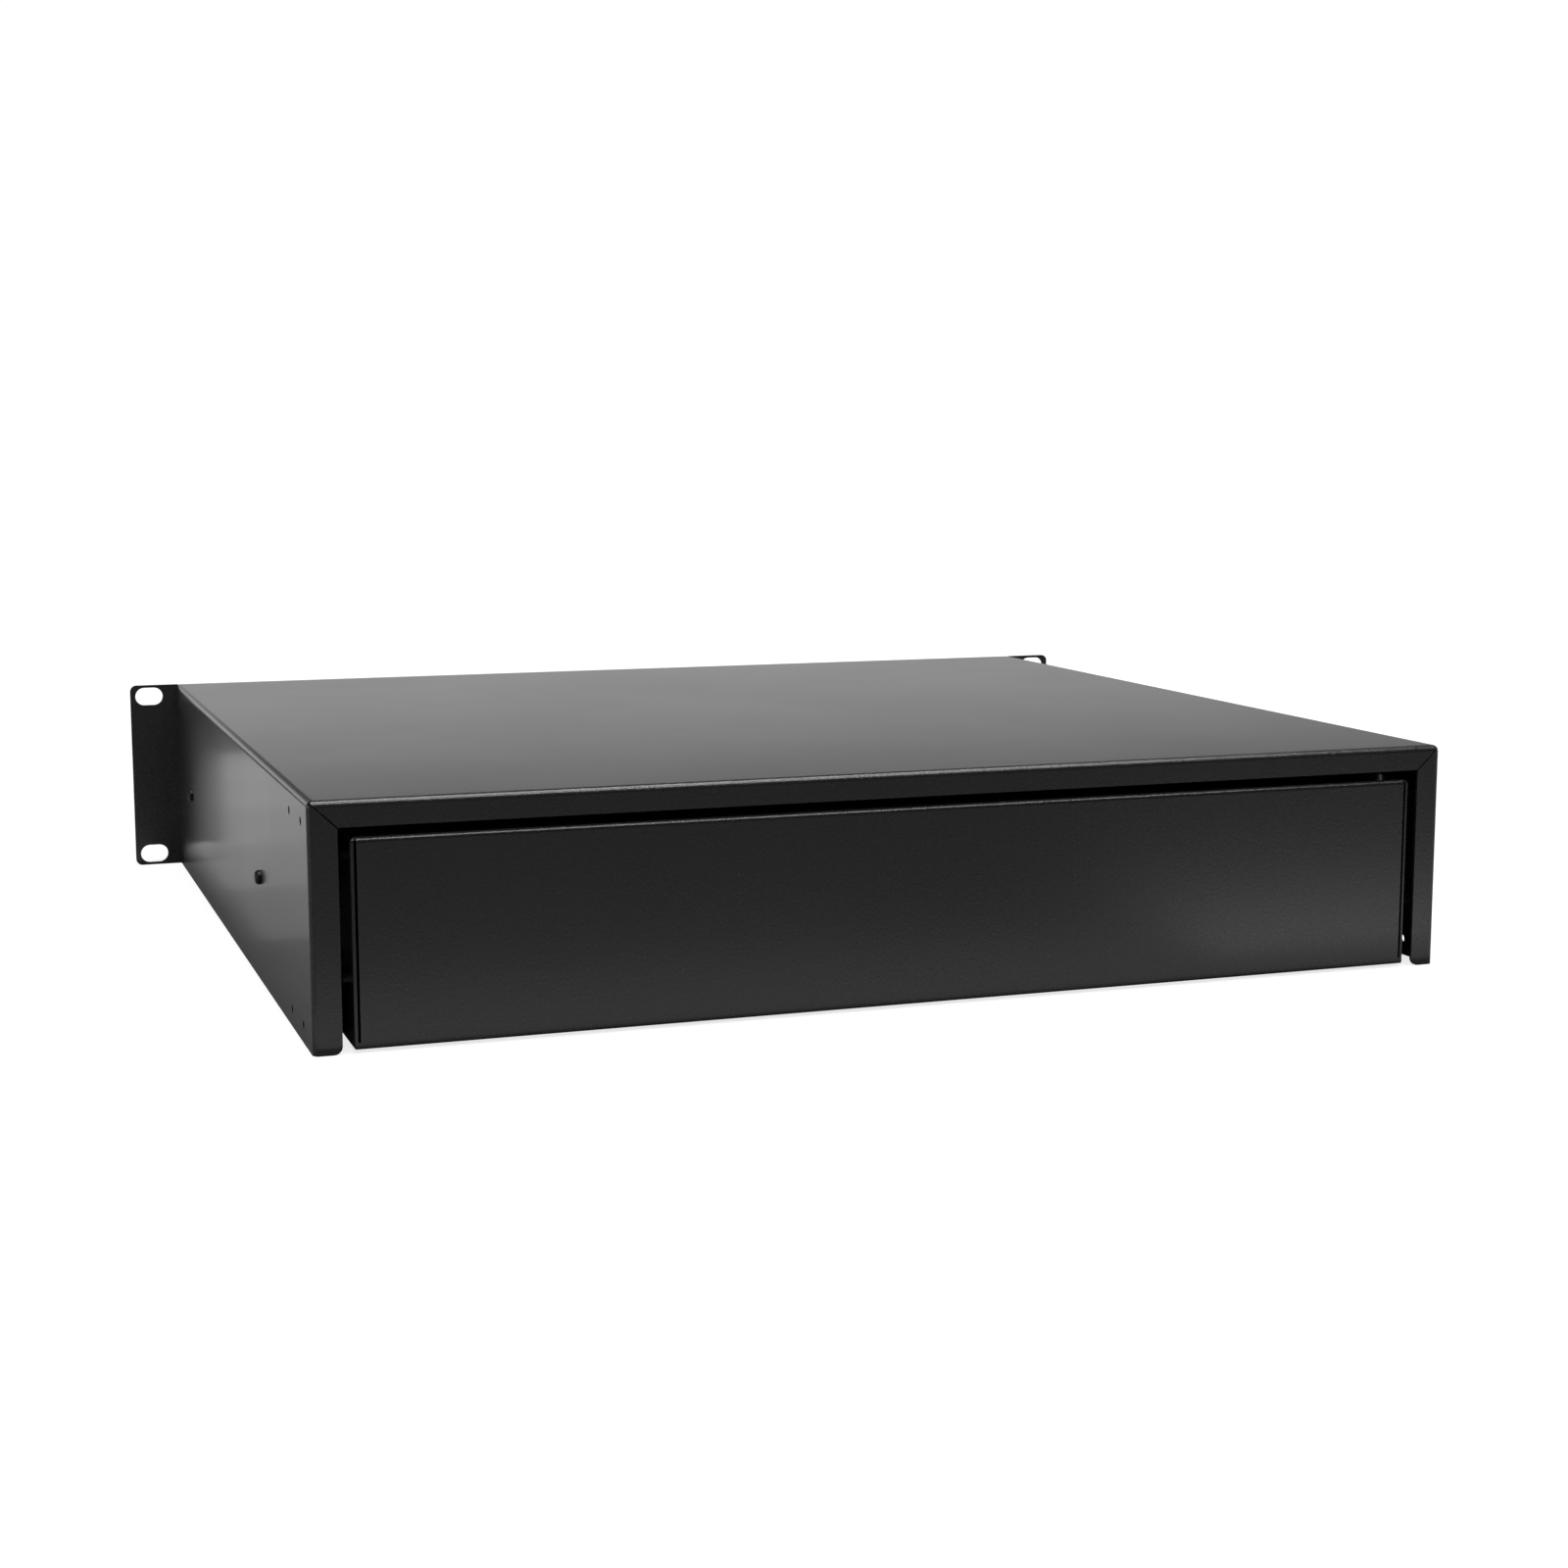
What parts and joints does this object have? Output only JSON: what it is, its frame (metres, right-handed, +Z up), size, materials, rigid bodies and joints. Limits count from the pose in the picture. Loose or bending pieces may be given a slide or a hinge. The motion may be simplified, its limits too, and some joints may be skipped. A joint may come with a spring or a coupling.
{
  "type": "rack drawer",
  "caption": "Lockable sliding drawer for an equipment rack: folded steel casing with slotted ears, open tray on ball-bearing slides, bow handle and cam lock.",
  "frame": {"origin": "centre of the four rack-ear slots, on the ears' rear face, which meets the rack rails", "axes": "+X right seen from the front, +Y from front to rear, +Z up; the drawer opens towards -Y"},
  "size_m": [0.4826, 0.441, 0.087],
  "materials": {
    "powder_coat": "fine-textured black powder coat",
    "handle_coat": "satin black powder coat",
    "black_screw": "black oxide",
    "zinc_screw": "bright zinc plating",
    "slide_zinc": "zinc-plated rolled steel",
    "cage_steel": "plain cold-rolled strip",
    "ball_steel": "polished",
    "buffer_plastic": "moulded",
    "lever_plastic": "moulded",
    "lock_chrome": "polished nickel-chrome plate",
    "lock_brass": "nickel-washed brass",
    "key_nickel": "nickel plate"
  },
  "bodies": {
    "casing": {"casing": "powder_coat", "lock_strike": "powder_coat", "slide_mount_screws": "black_screw", "slide_outer_right": "slide_zinc", "slide_outer_left": "slide_zinc", "slide_buffer_right": "buffer_plastic", "slide_buffer_left": "buffer_plastic"},
    "drawer": {"drawer_box": "powder_coat", "front_panel": "powder_coat", "panel_studs": "zinc_screw", "panel_nuts": "zinc_screw", "pull_handle": "handle_coat", "handle_screws": "zinc_screw", "drawer_slide_screws": "zinc_screw", "drawer_slide_nuts": "zinc_screw", "lever_pivots": "zinc_screw", "lock_housing": "lock_chrome", "lock_nut": "zinc_screw", "slide_inner_right": "slide_zinc", "slide_inner_left": "slide_zinc"},
    "lock": {"lock_plug": "lock_brass", "lock_cam": "zinc_screw", "cam_screw": "zinc_screw", "key": "key_nickel"},
    "slide_middle_right": {"slide_middle_right": "slide_zinc"},
    "outer_cage_right": {"outer_ball_cage_right": "cage_steel", "outer_balls_right": "ball_steel"},
    "inner_cage_right": {"inner_ball_cage_right": "cage_steel", "inner_balls_right": "ball_steel"},
    "release_lever_right": {"release_lever_right": "lever_plastic"},
    "slide_middle_left": {"slide_middle_left": "slide_zinc"},
    "outer_cage_left": {"outer_ball_cage_left": "cage_steel", "outer_balls_left": "ball_steel"},
    "inner_cage_left": {"inner_ball_cage_left": "cage_steel", "inner_balls_left": "ball_steel"},
    "release_lever_left": {"release_lever_left": "lever_plastic"}
  },
  "joints": [
    {"name": "drawer_slide", "type": "slide", "parent": "casing", "child": "drawer", "axis": [0, -1, 0], "range_m": [0, 0.35]},
    {"name": "slide_middle_right_travel", "type": "slide", "parent": "casing", "child": "slide_middle_right", "axis": [0, -1, 0], "range_m": [0, 0.175]},
    {"name": "outer_cage_right_travel", "type": "slide", "parent": "casing", "child": "outer_cage_right", "axis": [0, -1, 0], "range_m": [0, 0.0875]},
    {"name": "inner_cage_right_travel", "type": "slide", "parent": "casing", "child": "inner_cage_right", "axis": [0, -1, 0], "range_m": [0, 0.2625]},
    {"name": "slide_middle_left_travel", "type": "slide", "parent": "casing", "child": "slide_middle_left", "axis": [0, -1, 0], "range_m": [0, 0.175]},
    {"name": "outer_cage_left_travel", "type": "slide", "parent": "casing", "child": "outer_cage_left", "axis": [0, -1, 0], "range_m": [0, 0.0875]},
    {"name": "inner_cage_left_travel", "type": "slide", "parent": "casing", "child": "inner_cage_left", "axis": [0, -1, 0], "range_m": [0, 0.2625]},
    {"name": "lock_turn", "type": "hinge", "parent": "drawer", "child": "lock", "pos_m": [0, 0, 0.0225], "axis": [0, -1, 0], "range_deg": [0, 90]},
    {"name": "release_lever_right_swing", "type": "hinge", "parent": "drawer", "child": "release_lever_right", "pos_m": [0.20925, 0.18, -0.0023], "axis": [-1, 0, 0], "range_deg": [0, 8]},
    {"name": "release_lever_left_swing", "type": "hinge", "parent": "drawer", "child": "release_lever_left", "pos_m": [-0.20925, 0.18, -0.0023], "axis": [-1, 0, 0], "range_deg": [0, 8]}
  ],
  "couplings": [
    {"joint": "slide_middle_right_travel", "follows": "drawer_slide", "ratio": 0.5},
    {"joint": "outer_cage_right_travel", "follows": "drawer_slide", "ratio": 0.25},
    {"joint": "inner_cage_right_travel", "follows": "drawer_slide", "ratio": 0.75},
    {"joint": "slide_middle_left_travel", "follows": "drawer_slide", "ratio": 0.5},
    {"joint": "outer_cage_left_travel", "follows": "drawer_slide", "ratio": 0.25},
    {"joint": "inner_cage_left_travel", "follows": "drawer_slide", "ratio": 0.75}
  ]
}
